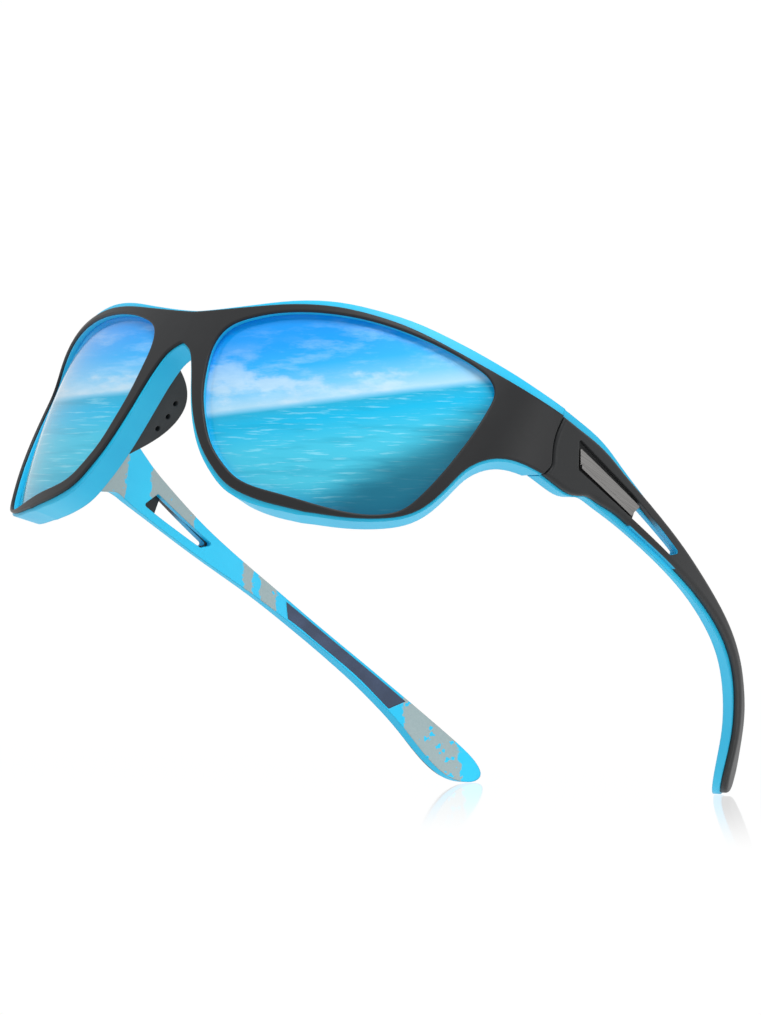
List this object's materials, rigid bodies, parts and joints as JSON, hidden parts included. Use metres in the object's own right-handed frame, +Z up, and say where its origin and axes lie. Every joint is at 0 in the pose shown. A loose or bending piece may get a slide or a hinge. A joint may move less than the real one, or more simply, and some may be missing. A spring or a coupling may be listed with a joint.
{
  "type": "wraparound sport sunglasses",
  "caption": "Wraparound sport sunglasses with two-colour moulded frame, mirrored curved lenses, rubber nose pads and barrel-hinged two-layer temples that fold behind the lenses",
  "frame": {"origin": "middle of the bounding box in plan, at table height under the lower rims and the ear tips", "axes": "+X to the wearer's left, +Y from the lenses towards the ear tips, +Z up"},
  "size_m": [0.1406, 0.1466, 0.0449],
  "materials": {
    "shell_black": "soft-touch matte black injection moulding with fine grain",
    "shell_cyan": "satin cyan injection moulding; grey printed patches on the temple insides",
    "lens_mirror": "blue revo-type mirror coating on a polycarbonate lens",
    "pad_rubber": "matte black rubber with three moulded dimples",
    "hinge_steel": "brushed stainless hinge metal",
    "trim_metal": "brushed gunmetal trim plate",
    "grip_navy": "matte navy soft-touch grip inlay"
  },
  "bodies": {
    "front": {"front_outer_shell": "shell_black", "front_inner_shell": "shell_cyan", "lens_left": "lens_mirror", "nose_pad_left": "pad_rubber", "hinge_front_leaf_left": "hinge_steel", "hinge_screw_left": "hinge_steel", "hinge_front_rivets_left": "hinge_steel", "lens_right": "lens_mirror", "nose_pad_right": "pad_rubber", "hinge_front_leaf_right": "hinge_steel", "hinge_screw_right": "hinge_steel", "hinge_front_rivets_right": "hinge_steel"},
    "temple_left": {"temple_outer_shell_left": "shell_black", "temple_inner_liner_left": "shell_cyan", "temple_trim_plate_left": "trim_metal", "temple_grip_inlay_left": "grip_navy", "hinge_temple_leaf_left": "hinge_steel", "hinge_temple_rivets_left": "hinge_steel"},
    "temple_right": {"temple_outer_shell_right": "shell_black", "temple_inner_liner_right": "shell_cyan", "temple_trim_plate_right": "trim_metal", "temple_grip_inlay_right": "grip_navy", "hinge_temple_leaf_right": "hinge_steel", "hinge_temple_rivets_right": "hinge_steel"}
  },
  "joints": [
    {"name": "hinge_left", "type": "hinge", "parent": "front", "child": "temple_left", "pos_m": [0.0649, -0.03363, 0.02935], "axis": [0, 0, 1], "range_deg": [0, 82]},
    {"name": "hinge_right", "type": "hinge", "parent": "front", "child": "temple_right", "pos_m": [-0.0649, -0.03363, 0.02935], "axis": [0, 0, -1], "range_deg": [0, 72]}
  ]
}
